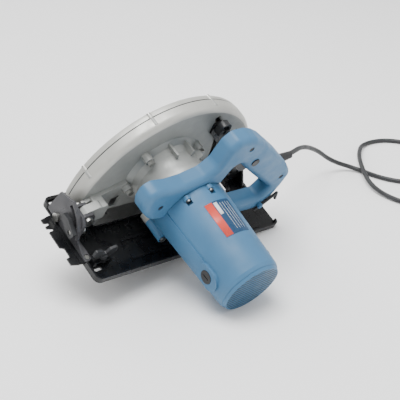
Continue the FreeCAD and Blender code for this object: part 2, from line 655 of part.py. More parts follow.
def motor_housing():
    """Moulded barrel with a louvred end, brush bosses and screw ears."""
    outer = turned_y(MOTOR_X, MOTOR_Z, [
        (0, HOUSING_Y0), (HOUSING_R0, HOUSING_Y0), (HOUSING_R1, 211), (41.5, 215.2), (38, 218),
        (34, HOUSING_Y1), (0, HOUSING_Y1)])
    for degrees in BRUSH_ANGLES:
        for y in (BRUSH_Y - 6, BRUSH_Y, BRUSH_Y + 6):
            outer = outer.fuse(radial_rod(14, degrees, 30, 46, y))
    outer = outer.fuse(rod_y(6.2, *on_motor(-54, 54), HOUSING_Y0, 92))
    outer = outer.fuse(rod_y(6.2, *on_motor(-54, 48), HOUSING_Y0, 92))
    for degrees, radius in MOTOR_SCREWS[:3]:
        outer = outer.fuse(rod_y(5.2, *on_motor(degrees, radius), 89.5, 95))
    outer = outer.removeSplitter()
    bore = turned_y(MOTOR_X, MOTOR_Z, [
        (0, 60), (44, 60), (44, 95), (41.05, 95), (41.05, 150), (39.5, 150), (39.5, 206),
        (31, 215.5), (0, 215.5)])
    shell = outer.cut(bore)
    cup = tube_y(17, 13.05, MOTOR_X, MOTOR_Z, 194.5, 204.4).fuse(
        tube_y(17, 6, MOTOR_X, MOTOR_Z, 204.4, 216.5))
    shell = shell.fuse(cup).removeSplitter()
    for degrees in range(0, 360, 45):
        spoke = box(16.5, 37, 205, 216.5, -1.2, 1.2)
        spoke.rotate(V(0, 0, 0), V(0, 1, 0), -degrees - 11)
        spoke.translate(V(MOTOR_X, 0, MOTOR_Z))
        shell = shell.fuse(spoke)
    shell = shell.removeSplitter()
    for i in range(8):
        z = MOTOR_Z - 25.2 + 7.2 * i
        half = math.sqrt(31 ** 2 - (z - MOTOR_Z) ** 2)
        for x0, x1 in ((MOTOR_X - half, MOTOR_X - 4), (MOTOR_X + 4, MOTOR_X + half)):
            if x1 - x0 > 8:
                slot = box(x0, x1, 214, 222, z - 1.5, z + 1.5)
                keep = tube_y(90, 18.5, MOTOR_X, MOTOR_Z, 213, 223)
                shell = shell.cut(slot.common(keep))
    for degrees in BRUSH_ANGLES:
        shell = shell.cut(radial_rod(9.1, degrees, 36, 50, BRUSH_Y))
    for degrees, radius in MOTOR_SCREWS[:3]:
        shell = shell.cut(rod_y(1.75, *on_motor(degrees, radius), 60, 100))
        shell = shell.cut(rod_y(3.9, *on_motor(degrees, radius), 95, 102))
    shell = shell.cut(rod_y(1.75, *on_motor(-54, 54), 60, 100))
    return shell


def motor_screws():
    screws = [cap_screw_y(*on_motor(degrees, radius), 95.05, 54.2, 3.6, 1.7)
              for degrees, radius in MOTOR_SCREWS[:3]]
    return group(*screws, cap_screw_y(*on_motor(-54, 54), 92.05, 54.2, 4.2, 1.7))


def field_core():
    core = tube_y(41, 24.6, MOTOR_X, MOTOR_Z, 95.2, 149.8)
    for degrees in (60, 120, 240, 300):
        x, z = on_motor(degrees, 32)
        core = core.cut(rod_y(4.5, x, z, 90, 155))
    return core


def field_coils():
    """End windings of the field, in front of and behind the core."""
    return group(tube_y(38, 26.5, MOTOR_X, MOTOR_Z, 87, 95),
                 tube_y(38, 26.5, MOTOR_X, MOTOR_Z, 150, 160))


def armature_shaft():
    return fuse(rod_y(4, MOTOR_X, MOTOR_Z, 16.8, 50.1), rod_y(5, MOTOR_X, MOTOR_Z, 50, 194.8),
                rod_y(4, MOTOR_X, MOTOR_Z, 194.8, 204))


def armature_core():
    core = tube_y(24, 5.05, MOTOR_X, MOTOR_Z, 97, 148)
    for i in range(12):
        slot = box(19, 25, 90, 160, -0.9, 0.9)
        slot.rotate(V(0, 0, 0), V(0, 1, 0), 30 * i)
        slot.translate(V(MOTOR_X, 0, MOTOR_Z))
        core = core.cut(slot)
    winding = tube_y(20, 5.05, MOTOR_X, MOTOR_Z, 88, 97).fuse(tube_y(20, 5.05, MOTOR_X, MOTOR_Z, 148, 160))
    return core.fuse(winding).removeSplitter()


def commutator():
    drum = tube_y(14, 5.05, MOTOR_X, MOTOR_Z, 166, 190)
    for i in range(24):
        groove = box(13.3, 15, 160, 195, -0.25, 0.25)
        groove.rotate(V(0, 0, 0), V(0, 1, 0), 15 * i)
        groove.translate(V(MOTOR_X, 0, MOTOR_Z))
        drum = drum.cut(groove)
    return drum


def cooling_fan():
    fan = tube_y(38, 5.05, MOTOR_X, MOTOR_Z, 68, 70.4).fuse(tube_y(12, 5.05, MOTOR_X, MOTOR_Z, 68, 82))
    for i in range(14):
        blade_box = box(14, 37, 70, 82, -0.9, 0.9)
        blade_box.rotate(V(25, 0, 0), V(0, 1, 0), 25)
        blade_box.rotate(V(0, 0, 0), V(0, 1, 0), 360 / 14 * i)
        blade_box.translate(V(MOTOR_X, 0, MOTOR_Z))
        fan = fan.fuse(blade_box)
    return fan.removeSplitter()


def brush_parts():
    holders, brushes, caps = [], [], []
    for degrees in BRUSH_ANGLES:
        holder = radial_rod(6.5, degrees, 15.2, 39, BRUSH_Y)
        way = box(10, 60, BRUSH_Y - 3.6, BRUSH_Y + 3.6, -2.6, 2.6)
        way.rotate(V(0, 0, 0), V(0, 1, 0), -degrees)
        way.translate(V(MOTOR_X, 0, MOTOR_Z))
        holders.append(holder.cut(way))
        block = box(14.3, 30, BRUSH_Y - 3.5, BRUSH_Y + 3.5, -2.5, 2.5)
        block.rotate(V(0, 0, 0), V(0, 1, 0), -degrees)
        block.translate(V(MOTOR_X, 0, MOTOR_Z))
        brushes.append(block)
        cap = radial_rod(9, degrees, 39.6, 46.6, BRUSH_Y)
        slot = box(45.4, 50, BRUSH_Y - 5, BRUSH_Y + 5, -0.8, 0.8)
        slot.rotate(V(0, 0, 0), V(0, 1, 0), -degrees)
        slot.translate(V(MOTOR_X, 0, MOTOR_Z))
        caps.append(cap.cut(slot))
    return group(*holders), group(*brushes), group(*caps)


def rating_label():
    r0, r1 = barrel_radius(113) + 0.05, barrel_radius(163) + 0.05
    points = [V(r0, 113, 0), V(r1, 163, 0), V(r1 + 0.4, 163, 0), V(r0 + 0.4, 113, 0), V(r0, 113, 0)]
    label = Part.Face(Part.makePolygon(points)).revolve(V(0, 0, 0), V(0, 1, 0), -48)
    label.rotate(V(0, 0, 0), V(0, 1, 0), -62)
    label.translate(V(MOTOR_X, 0, MOTOR_Z))
    return label


# ---------------------------------------------------------------- handle
HANDLE_OUTLINE = [
    (59, 79), (66, 70), (79, 66), (97, 70), (112, 85), (119, 101), (117, 118), (106, 124),
    (84, 121), (62, 123), (34, 131), (21, 146), (17, 177), (7, 188), (-12, 189), (-27, 185),
    (-44, 176), (-70, 158), (-101, 136), (-129, 114), (-148, 95), (-146, 70), (-141, 48),
    (-138, 25), (-98, 25), (-60, 27), (-10, 30),
]
LOOP = [(-2, 108), (-12, 149), (-40, 127), (-80, 98), (-122, 69), (-112, 50), (-60, 50), (-24, 54), (-23, 86)]
LOOP_RADII = [8, 9, 20, 20, 9, 9, 20, 8, 12]
GRIP_SLOPE = math.degrees(math.atan2(58, 81))     # underside of the grip, nose up
GRIP_X, GRIP_Z = -40.0, 127.0                     # point on that underside


def on_grip(s, n):
    """Point s forward along the grip's underside and n above it."""
    a = math.radians(GRIP_SLOPE)
    return (GRIP_X + s * math.cos(a) - n * math.sin(a), GRIP_Z + s * math.sin(a) + n * math.cos(a))


def grip_block(s0, s1, n0, n1, y0, y1, radii=0):
    return plate_xz([on_grip(s0, n0), on_grip(s1, n0), on_grip(s1, n1), on_grip(s0, n1)], y0, y1, radii)


HANDLE_SCREWS = [(-20, 172), (-128, 92), (92, 95), (-118, 38)]


def handle_half(y0, y1, grip_y, split_side):
    """One clamshell: loop handle plus the front grip, hollow towards the parting plane."""
    solid = plate_xz(HANDLE_OUTLINE, y0, y1, 7)
    grip = plate_xz(HANDLE_OUTLINE[:9] + [(62, 121)], grip_y[0], grip_y[1], 7)
    solid = solid.fuse(grip).removeSplitter()
    solid = solid.cut(plate_xz(LOOP, y0 - 1, y1 + 1, LOOP_RADII))
    hollow_y0 = y0 + SHELL if split_side > 0 else y0 - 1
    hollow_y1 = y1 + 1 if split_side > 0 else y1 - SHELL
    hollow = plate_xz(HANDLE_OUTLINE, hollow_y0, hollow_y1, 7, SHELL)
    hollow = hollow.cut(plate_xz(LOOP, hollow_y0 - 1, hollow_y1 + 1, LOOP_RADII, -SHELL))
    hollow = hollow.cut(rod_y(HOUSING_R0 + 0.4 + SHELL, MOTOR_X, MOTOR_Z, 20, 100))
    half = solid.cut(hollow)
    for x, z in HANDLE_SCREWS:
        boss = rod_y(5.5, x, z, max(y0, hollow_y0 - 2), min(y1, hollow_y1 + 2))
        half = half.fuse(boss)
    half = half.removeSplitter()
    half = half.cut(rod_y(HOUSING_R0 + 0.4, MOTOR_X, MOTOR_Z, 53.6, 100))
    half = half.cut(rod_y(DRUM_R + 0.4, MOTOR_X, MOTOR_Z, 20, 54))
    for x, z in HANDLE_SCREWS:
        half = half.cut(rod_y(2.05, x, z, 50, 100)).cut(rod_y(4.2, x, z, 84.6, 100))
    # mouth for the trigger in the underside of the grip
    half = half.cut(grip_block(-23, 18, -3, 8, 56.5, 75.5))
    return half.cut(sleeve_way())


def handle_left():
    half = handle_half(HANDLE_SPLIT + 0.15, HANDLE_LEFT, (HANDLE_SPLIT + 0.15, HANDLE_LEFT), -1)
    half = half.cut(rod_y(6.2, -45, 142, 80, 100))
    half = half.cut(rod_y(5.4, *on_motor(90, 46.4), 80, 100)).cut(rod_y(5.4, *on_motor(48, 46.4), 80, 100))
    return half.cut(rod_y(1.6, KEY_TOP[0], KEY_TOP[1], 86, 90))


def handle_right():
    half = handle_half(HANDLE_RIGHT, HANDLE_SPLIT - 0.15, (GRIP_RIGHT, HANDLE_SPLIT - 0.15), 1)
    return half


def handle_screws():
    return group(*[cap_screw_y(x, z, 84.65, 53, 3.9, 2.0) for x, z in HANDLE_SCREWS])


def switch_body():
    return grip_block(-22, 20, 18, 36, 56.5, 75.5, 2)


TRIGGER_PIVOT = on_grip(13, 8.6)


def trigger():
    """Finger trigger, hung from its front end."""
    outline = [on_grip(17, 0), on_grip(17, 12), on_grip(-20, 12), on_grip(-21, -6),
               on_grip(-12, -10), on_grip(6, -7)]
    block = plate_xz(outline, 57.2, 74.8, 3)
    return block.cut(rod_y(2.05, *TRIGGER_PIVOT, 50, 80))


def trigger_pin():
    return rod_y(2.0, *TRIGGER_PIVOT, 51.3, 84.7)


def trigger_spring():
    x0, z0 = on_grip(-14, 12.1)
    x1, z1 = on_grip(-14, 17.9)
    return rod(3, (x0, 66, z0), (x1, 66, z1))


def lock_button():
    return fuse(rod_y(6.0, -45, 142, 79.5, 89.4), rod_y(7.4, -45, 142, 79.5, 81.2))


KEY_TOP = (-140.0, 58.0)
KEY_TIP = (-112.0, 29.0)


def hex_key():
    """Wrench clipped to the left side of the rear leg."""
    shank = rod(2.2, (KEY_TOP[0], 90.6, KEY_TOP[1]), (KEY_TIP[0], 90.6, KEY_TIP[1]))
    bend = rod(2.2, (KEY_TOP[0], 90.6, KEY_TOP[1]), (KEY_TOP[0] - 5, 90.6, KEY_TOP[1] - 13))
    return fuse(shank, bend, Part.makeSphere(2.2, V(KEY_TOP[0], 90.6, KEY_TOP[1])))


GUARD_SLEEVE = ((-141, 56, 86), (-176, 56, 90.5))


def cord_guard():
    """Rubber sleeve where the cord leaves the rear of the handle."""
    start, end = V(*GUARD_SLEEVE[0]), V(*GUARD_SLEEVE[1])
    along = end - start
    sleeve = Part.makeCone(7.4, 5.2, along.Length, start, along)
    flange = Part.makeCylinder(9.2, 3, start + V(5, 0, -0.6) * 0.2, along)
    hole = Part.makeCylinder(CORD_D / 2 + 0.05, 80, start - along * 0.3, along)
    return fuse(sleeve, flange).cut(hole)


def sleeve_way():
    start, end = V(*GUARD_SLEEVE[0]), V(*GUARD_SLEEVE[1])
    return Part.makeCylinder(7.5, 60, start + (start - end) * 0.2, end - start)


def shaft_lock():
    return fuse(rod_y(3, LOCK_X, LOCK_Z, 30.4, 41), rod_y(4.9, LOCK_X, LOCK_Z, 40, 44))


def lock_spring():
    return tube_y(4.6, 3.3, LOCK_X, LOCK_Z, 36.1, 39.9)


def depth_pivot():
    return fuse(rod_y(7, PIVOT_X, PIVOT_Z, 41.7, 46), rod_y(3.95, PIVOT_X, PIVOT_Z, 17, 41.8),
                rod_y(6, PIVOT_X, PIVOT_Z, 16, 20.3))


# ---------------------------------------------------------------- assembly
def build_nodes():
    nodes["base_plate"] = fuse(base_plate(), rear_bracket())
    nodes["sight_plate"] = sight_plate()
    nodes["sight_rivets"] = sight_rivets()
    nodes["bevel_quadrant"] = bevel_quadrant()
    nodes["fence_bridge"] = fence_bridge()
    nodes["fence_screw"] = fence_screw()
    nodes["bevel_pins"] = group(bevel_pin(157.3, 164.7, 164.6, 1), bevel_pin(-152.2, -144.6, -152.2, -1))
    nodes["front_bracket"] = front_bracket()
    nodes["depth_arm"] = depth_arm()
    nodes["depth_bolt"] = depth_bolt()
    nodes["depth_lever"] = depth_lever()
    nodes["bevel_bolt"] = bevel_bolt()
    nodes["bevel_lever"] = bevel_lever()
    screw_ways = group(*[rod_y(1.55, *case_screw_place(d), -12, 6) for d in CASE_SCREW_ANGLES])
    nodes["blade_case"] = with_screw_lugs(blade_case(), CASE_SPLIT + 0.25, 8).cut(screw_ways)
    head_ways = group(*[rod_y(2.9, *case_screw_place(d), -20, -9.5) for d in CASE_SCREW_ANGLES])
    cover = with_screw_lugs(case_cover(), -9.5, CASE_SPLIT - 0.25)
    nodes["case_cover"] = cover.cut(screw_ways).cut(head_ways)
    nodes["case_screws"] = group(*case_screws())
    nodes["gear_housing"] = gear_housing()
    nodes["gear_bolts"] = gear_bolts()
    nodes["depth_pivot"] = depth_pivot()
    nodes["motor_housing"] = motor_housing()
    nodes["motor_screws"] = motor_screws()
    nodes["field_core"] = field_core()
    nodes["field_coils"] = field_coils()
    nodes["brush_holders"], nodes["carbon_brushes"], nodes["brush_caps"] = brush_parts()
    nodes["rating_label"] = rating_label()
    nodes["motor_bearings"] = group(ring_bearing(16, 5.05, MOTOR_X, MOTOR_Z, 50.3, 59.6),
                                    ring_bearing(13, 4.05, MOTOR_X, MOTOR_Z, 195, 204.2))
    nodes["spindle_bearings"] = group(ring_bearing(17.5, 10.05, 0, ARBOR_Z, 9.5, 18),
                                      ring_bearing(11, 6.05, 0, ARBOR_Z, 31.5, 40.5))
    nodes["handle_left"] = handle_left()
    nodes["handle_right"] = handle_right()
    nodes["handle_screws"] = handle_screws()
    nodes["switch_body"] = switch_body()
    nodes["trigger"] = trigger()
    nodes["trigger_pin"] = trigger_pin()
    nodes["trigger_spring"] = trigger_spring()
    nodes["lock_button"] = lock_button()
    nodes["shaft_lock"] = shaft_lock()
    nodes["lock_spring"] = lock_spring()
    nodes["hex_key"] = hex_key()
    nodes["armature_shaft"] = armature_shaft()
    nodes["pinion"] = pinion()
    nodes["armature_core"] = armature_core()
    nodes["commutator"] = commutator()
    nodes["cooling_fan"] = cooling_fan()
    nodes["spindle"] = spindle()
    nodes["driven_gear"] = driven_gear()
    nodes["inner_flange"] = inner_flange()
    nodes["blade"] = blade()
    nodes["outer_flange"] = outer_flange()
    nodes["blade_bolt"] = blade_bolt()
    nodes["lower_guard"] = fuse(lower_guard(), guard_lever())
    nodes["guard_ring"] = guard_ring()
    nodes["guard_spring"] = guard_spring()


def placement():
    """Lay the saw down: rolled to its left, nose up, lowest point on the floor."""
    turn = FreeCAD.Rotation(V(0, 1, 0), -PITCH) * FreeCAD.Rotation(V(1, 0, 0), -LEAN)
    lay = FreeCAD.Placement(V(0, 0, 0), turn)
    bounds = FreeCAD.BoundBox()
    for name, shape in nodes.items():
        laid = shape.copy()
        laid.Placement = lay.multiply(laid.Placement)
        bounds.add(laid.optimalBoundingBox(False))
    shift = V(-bounds.Center.x, -bounds.Center.y, -bounds.ZMin)
    return FreeCAD.Placement(shift, turn)


# ---------------------------------------------------------------- cord, in the laid-down frame
CORD_ROUTE = [
    (-170.0, -9.0, 101.0), (-202.0, -12.0, 100.0), (-252.0, -35.0, 88.0), (-312.0, -58.0, 56.0),
    (-357.0, -64.0, 20.0), (-391.0, -42.0, 3.5), (-393.0, 20.0, 3.5), (-426.0, 70.0, 3.5),
    (-484.0, 76.0, 3.5), (-527.0, 36.0, 3.5), (-538.0, -24.0, 3.5), (-519.0, -78.0, 3.5),
    (-474.0, -95.0, 3.5), (-424.0, -62.0, 12.0), (-385.0, -26.0, 16.0), (-352.0, 20.0, 7.0),
    (-346.0, 74.0, 3.5), (-364.0, 120.0, 4.5),
]
COIL_X, COIL_Y = -408.0, 150.0
COIL_R = 39.0            # middle of the coil's turns
COIL_BAND = 10.5         # half of the coil's width and height
COIL_Z0 = 1.2            # the tie lifts the coil off the floor by its thickness
PLUG_Y0, PLUG_Y1 = 206.0, 248.0
PLUG_R = 12.5
TAIL_X = COIL_X + COIL_R + 7


def cord_tube(route, radius):
    """Round cord: straight runs joined by tangent arcs."""
    points = [V(*p) for p in route]
    edges, tightest, start = [], 1e9, points[0]
    for before, here, after in zip(points, points[1:], points[2:]):
        a, b = before - here, after - here
        turn = math.pi - a.getAngle(b)
        reach = 0.45 * min(a.Length, b.Length)
        bend = reach / math.tan(turn / 2)
        tightest = min(tightest, bend)
        a.normalize()
        b.normalize()
        enter, leave = here + a * reach, here + b * reach
        towards = a + b
        towards.normalize()
        centre_away = bend / math.cos(turn / 2)
        middle = here + towards * (centre_away - bend)
        edges.append(Part.LineSegment(start, enter).toShape())
        edges.append(Part.Arc(enter, middle, leave).toShape())
        start = leave
    edges.append(Part.LineSegment(start, points[-1]).toShape())
    path = Part.Wire(edges)
    ring = Part.Wire([Part.makeCircle(radius, points[0], points[1] - points[0])])
    tube = path.makePipeShell([ring], True, False)
    print("cord length", round(path.Length, 1), "tightest bend", round(tightest, 1),
          "volume ratio", round(tube.Volume / (math.pi * radius ** 2 * path.Length), 4))
    return tube


def rod_z(radius, x, y, z0, z1):
    return rod(radius, (x, y, z0), (x, y, z1))


def cord_coil():
    """Outer shape of the coiled length, with the short tail that runs to the plug."""
    z1 = COIL_Z0 + 2 * COIL_BAND
    ring = rod_z(COIL_R + COIL_BAND, COIL_X, COIL_Y, COIL_Z0, z1)
    ring = ring.cut(rod_z(COIL_R - COIL_BAND, COIL_X, COIL_Y, -1, z1 + 1))
    tail = rod(CORD_D / 2, (TAIL_X, COIL_Y, PLUG_R), (TAIL_X, PLUG_Y0, PLUG_R))
    return fuse(ring, tail)


def coil_tie():
    """Strap round the coil's section."""
    x0, x1 = COIL_X - COIL_R - COIL_BAND, COIL_X - COIL_R + COIL_BAND
    z1 = COIL_Z0 + 2 * COIL_BAND
    y0, y1 = COIL_Y - 5, COIL_Y + 5
    strap = box(x0 - 1.2, x1 + 1.6, y0, y1, 0, z1 + 1.2)
    return strap.cut(box(x0 - 0.1, x1 + 0.5, y0 - 1, y1 + 1, COIL_Z0 - 0.1, z1 + 0.1))


def plug_body():
    grip = rod(PLUG_R, (TAIL_X, PLUG_Y0 + 8, PLUG_R), (TAIL_X, PLUG_Y1, PLUG_R))
    neck = Part.makeCone(6, 10, 8, V(TAIL_X, PLUG_Y0, PLUG_R), V(0, 1, 0))
    return fuse(grip, neck)


def plug_pins():
    pins = [rod(2.4, (TAIL_X + dx, PLUG_Y1, PLUG_R), (TAIL_X + dx, PLUG_Y1 + 18, PLUG_R))
            for dx in (-7, 7)]
    return group(*pins)


build_nodes()
laid_down = placement()
nodes["cord_guard"] = cord_guard()
print("placement", laid_down.Base, laid_down.Rotation.Q)
for name in nodes:
    nodes[name].Placement = laid_down.multiply(nodes[name].Placement)

nodes["cord"] = cord_tube(CORD_ROUTE, CORD_D / 2)
nodes["cord_coil"] = cord_coil()
nodes["coil_tie"] = coil_tie()
nodes["plug_body"] = plug_body()
nodes["plug_pins"] = plug_pins()

os.makedirs("parts", exist_ok=True)
for name, shape in nodes.items():
    shape.exportStep("parts/" + name + ".step")
    print(name, len(shape.Solids), shape.isValid(), round(shape.Volume / 1000, 2))
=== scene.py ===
import math

import bmesh
import bpy
from mathutils import Matrix, Vector


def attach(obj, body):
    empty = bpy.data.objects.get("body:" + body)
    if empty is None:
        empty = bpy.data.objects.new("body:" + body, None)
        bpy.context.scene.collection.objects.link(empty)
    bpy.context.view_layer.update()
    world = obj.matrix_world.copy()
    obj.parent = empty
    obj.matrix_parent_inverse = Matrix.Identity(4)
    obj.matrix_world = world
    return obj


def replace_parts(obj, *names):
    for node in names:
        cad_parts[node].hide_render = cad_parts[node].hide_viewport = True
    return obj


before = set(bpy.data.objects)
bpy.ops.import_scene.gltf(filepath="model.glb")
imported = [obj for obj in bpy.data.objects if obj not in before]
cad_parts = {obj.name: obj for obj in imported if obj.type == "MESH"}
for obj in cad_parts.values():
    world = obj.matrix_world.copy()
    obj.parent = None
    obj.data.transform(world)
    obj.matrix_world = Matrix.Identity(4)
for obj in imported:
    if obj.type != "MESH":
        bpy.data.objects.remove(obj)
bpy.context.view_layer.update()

# Looks of a hand-held circular saw that lies tipped on its side. Shapes are worked out in the saw's
# own frame (millimetres: X forward, Y to the motor, Z up from the sole) and laid down by one matrix,
# which turns them into metres. The cord, the floor, the lamps and the camera are given in metres.
LEAN, PITCH = 28.8, 7.47
SHIFT = Vector((-0.0118937, -0.0994917, 0.0730683))
LAY = (Matrix.Translation(SHIFT) @ Matrix.Rotation(math.radians(-PITCH), 4, "Y")
       @ Matrix.Rotation(math.radians(-LEAN), 4, "X") @ Matrix.Scale(0.001, 4))

ARBOR_Z = 44.0
GEAR_CENTRES = 39.0
MOTOR_X = 27.0
MOTOR_Z = ARBOR_Z + math.sqrt(GEAR_CENTRES ** 2 - MOTOR_X ** 2)
BARREL_R0, BARREL_Y0 = 49.0, 62.3
BARREL_R1, BARREL_Y1 = 43.0, 211.0
CASE_X, CASE_Z, CASE_R = 3.0, 27.0, 146.0


# ---------------------------------------------------------------- materials
def linear(rgb):
    """Linear red, green and blue of a screen colour that is given as 0 to 255."""
    return [((c / 255) / 12.92 if c <= 10 else (((c / 255) + 0.055) / 1.055) ** 2.4) for c in rgb]


class Finish:
    """One procedural material, built up layer by layer."""

    def __init__(self, name, rgb, roughness, metallic=0.0):
        self.mat = bpy.data.materials.new(name)
        self.mat.use_nodes = True
        self.nodes = self.mat.node_tree.nodes
        self.links = self.mat.node_tree.links
        self.shader = self.nodes["Principled BSDF"]
        self.shader.inputs["Base Color"].default_value = (*linear(rgb), 1)
        self.shader.inputs["Roughness"].default_value = roughness
        self.shader.inputs["Metallic"].default_value = metallic
        self.place = self.nodes.new("ShaderNodeTexCoord").outputs["Object"]
        self.normal = None

    def noise(self, scale, detail, stretch=None):
        place = self.place
        if stretch:
            mapping = self.nodes.new("ShaderNodeMapping")
            mapping.inputs["Scale"].default_value = stretch
            self.links.new(place, mapping.inputs["Vector"])
            place = mapping.outputs["Vector"]
        texture = self.nodes.new("ShaderNodeTexNoise")
        texture.inputs["Scale"].default_value = scale
        texture.inputs["Detail"].default_value = detail
        self.links.new(place, texture.inputs["Vector"])
        return texture.outputs["Fac"]

    def spread(self, value, low, high, start=0.3, end=0.7):
        ranged = self.nodes.new("ShaderNodeMapRange")
        ranged.inputs["From Min"].default_value = start
        ranged.inputs["From Max"].default_value = end
        ranged.inputs["To Min"].default_value = low
        ranged.inputs["To Max"].default_value = high
        self.links.new(value, ranged.inputs["Value"])
        return ranged.outputs["Result"]

    def rough(self, value, low, high):
        self.links.new(self.spread(value, low, high), self.shader.inputs["Roughness"])

    def cover(self, amount, other):
        """Lay another colour over the base colour by an amount from 0 to 1."""
        mix = self.nodes.new("ShaderNodeMix")
        mix.data_type = "RGBA"
        previous = self.shader.inputs["Base Color"]
        if previous.is_linked:
            self.links.new(previous.links[0].from_socket, mix.inputs["A"])
        else:
            mix.inputs["A"].default_value = previous.default_value
        mix.inputs["B"].default_value = (*linear(other), 1)
        self.links.new(amount, mix.inputs["Factor"])
        self.links.new(mix.outputs["Result"], self.shader.inputs["Base Color"])

    def tint(self, value, other, start, end):
        """Another colour where the value is high."""
        self.cover(self.spread(value, 0.0, 1.0, start, end), other)

    def edges(self, other, amount):
        """Paler, rubbed edges where the shape turns sharply."""
        geometry = self.nodes.new("ShaderNodeNewGeometry")
        self.cover(self.spread(geometry.outputs["Pointiness"], 0.0, amount, 0.54, 0.62), other)

    def bump(self, value, distance, strength):
        node = self.nodes.new("ShaderNodeBump")
        node.inputs["Distance"].default_value = distance
        node.inputs["Strength"].default_value = strength
        self.links.new(value, node.inputs["Height"])
        if self.normal:
            self.links.new(self.normal, node.inputs["Normal"])
        self.normal = node.outputs["Normal"]
        self.links.new(self.normal, self.shader.inputs["Normal"])


def plastic(name, rgb, dark, roughness=0.42):
    finish = Finish(name, rgb, roughness)
    finish.shader.inputs["Specular IOR Level"].default_value = 0.34
    finish.tint(finish.noise(14, 5), dark, 0.5, 0.95)
    finish.rough(finish.noise(60, 6), roughness - 0.08, roughness + 0.14)
    finish.bump(finish.noise(900, 3), 0.00012, 0.35)
    finish.bump(finish.noise(180, 5), 0.0001, 0.2)
    return finish.mat


def cast(name, rgb, dark, roughness=0.38):
    finish = Finish(name, rgb, roughness, 0.35)
    finish.tint(finish.noise(20, 8), dark, 0.5, 0.95)
    finish.rough(finish.noise(90, 6), roughness - 0.08, roughness + 0.17)
    finish.bump(finish.noise(700, 4), 0.0002, 0.4)
    finish.bump(finish.noise(45, 4), 0.0004, 0.25)
    return finish.mat


def steel(name, rgb, roughness):
    brushed = (1, 1, 12)
    finish = Finish(name, rgb, roughness, 1.0)
    finish.rough(finish.noise(220, 5, brushed), roughness - 0.1, roughness + 0.16)
    finish.tint(finish.noise(30, 6), tuple(int(c * 0.72) for c in rgb), 0.5, 0.9)
    finish.bump(finish.noise(600, 3, brushed), 0.00008, 0.3)
    return finish.mat


def painted(name, rgb, worn, roughness=0.35, wear=0.5):
    finish = Finish(name, rgb, roughness)
    finish.shader.inputs["Specular IOR Level"].default_value = 0.28
    finish.tint(finish.noise(24, 8), worn, 0.7, 1.3)
    finish.edges(worn, wear)
    finish.rough(finish.noise(70, 6), roughness - 0.1, roughness + 0.18)
    finish.bump(finish.noise(420, 4), 0.0002, 0.35)
    return finish.mat


def rubber(name, rgb, roughness):
    finish = Finish(name, rgb, roughness)
    finish.tint(finish.noise(40, 5), tuple(min(255, c + 25) for c in rgb), 0.5, 0.9)
    finish.rough(finish.noise(80, 5), roughness - 0.08, roughness + 0.15)
    finish.bump(finish.noise(800, 3), 0.0001, 0.4)
    return finish.mat


BLUE = plastic("blue_nylon", (62, 106, 140), (52, 94, 126), 0.46)
BLACK = plastic("black_nylon", (22, 23, 25), (32, 33, 35), 0.42)
CAST = cast("grey_casting", (176, 176, 171), (160, 160, 156))
# Darker, rougher copy of grey_casting: painted shade for the case's sides and gear housing, which face
# away from the lamps.
CAST_SHADED = cast("matt_casting_painted_shade", (152, 154, 151), (138, 140, 138), 0.46)
BASE = painted("black_base_paint", (13, 14, 16), (40, 41, 43), 0.26, 0.25)
ZINC = steel("zinc_plate", (168, 168, 164), 0.32)
DARK_STEEL = painted("dark_plated_steel", (58, 58, 61), (84, 84, 86), 0.32, 0.4)
DARK_ZINC = steel("dull_zinc", (120, 121, 120), 0.36)
BLADE = steel("blade_steel", (150, 150, 150), 0.28)
GEAR = steel("gear_steel", (110, 110, 112), 0.3)
COPPER = steel("copper_winding", (170, 105, 65), 0.35)
IRON = painted("lamination", (60, 60, 62), (90, 88, 86), 0.5)
CARBON = rubber("carbon_block", (28, 28, 30), 0.6)
CORD = rubber("cord_jacket", (32, 33, 35), 0.46)
TIE = rubber("tie_strap", (30, 30, 32), 0.6)
LEVER = plastic("lever_black", (40, 41, 43), (50, 51, 53), 0.36)
RED = plastic("label_red", (206, 74, 62), (190, 62, 54), 0.3)
LABEL = plastic("label_navy", (30, 62, 92), (26, 54, 82), 0.3)
WHITE = plastic("label_white", (214, 218, 222), (200, 204, 208), 0.3)

NODE_FINISH = {
    BLUE: ["motor_housing", "handle_left", "handle_right"],
    CAST: ["case_cover"],
    CAST_SHADED: ["blade_case", "gear_housing"],
    BASE: ["base_plate", "sight_plate", "fence_bridge", "depth_arm", "shaft_lock"],
    ZINC: ["sight_rivets", "bevel_pins", "depth_bolt", "bevel_bolt", "case_screws", "gear_bolts",
           "depth_pivot", "trigger_pin", "guard_ring", "blade_bolt", "plug_pins",
           "outer_flange", "inner_flange"],
    DARK_ZINC: ["lower_guard", "motor_screws"],
    BLADE: ["blade"],
    # handle_screws take this black as well: painted shade for their deep holes in the handle.
    LEVER: ["bevel_lever", "depth_lever", "fence_screw", "hex_key", "handle_screws"],
    BLACK: ["switch_body", "trigger", "lock_button", "brush_caps",
            "brush_holders", "cooling_fan"],
    TIE: ["cord_guard", "cord", "cord_coil", "coil_tie", "plug_body"],
    COPPER: ["field_coils", "commutator"],
    IRON: ["field_core", "armature_core"],
    DARK_STEEL: ["bevel_quadrant", "front_bracket"],
    CARBON: ["carbon_brushes"],
    GEAR: ["motor_bearings", "spindle_bearings", "armature_shaft", "pinion", "spindle", "driven_gear",
           "guard_spring", "trigger_spring", "lock_spring"],
    LABEL: ["rating_label"],
}


def finish_nodes():
    for material, names in NODE_FINISH.items():
        for name in names:
            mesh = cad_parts[name].data
            mesh.materials.clear()
            mesh.materials.append(material)


finish_nodes()


# ---------------------------------------------------------------- mesh helpers
def add(name, mesh, material):
    """A piece made in the saw's frame, laid down with it, moving with the saw body."""
    mesh.transform(LAY)
    mesh.materials.clear()
    mesh.materials.append(material)
    for face in mesh.polygons:
        face.use_smooth = True
    piece = bpy.data.objects.new(name, mesh)
    bpy.context.scene.collection.objects.link(piece)
    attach(piece, "saw_body")
    return piece


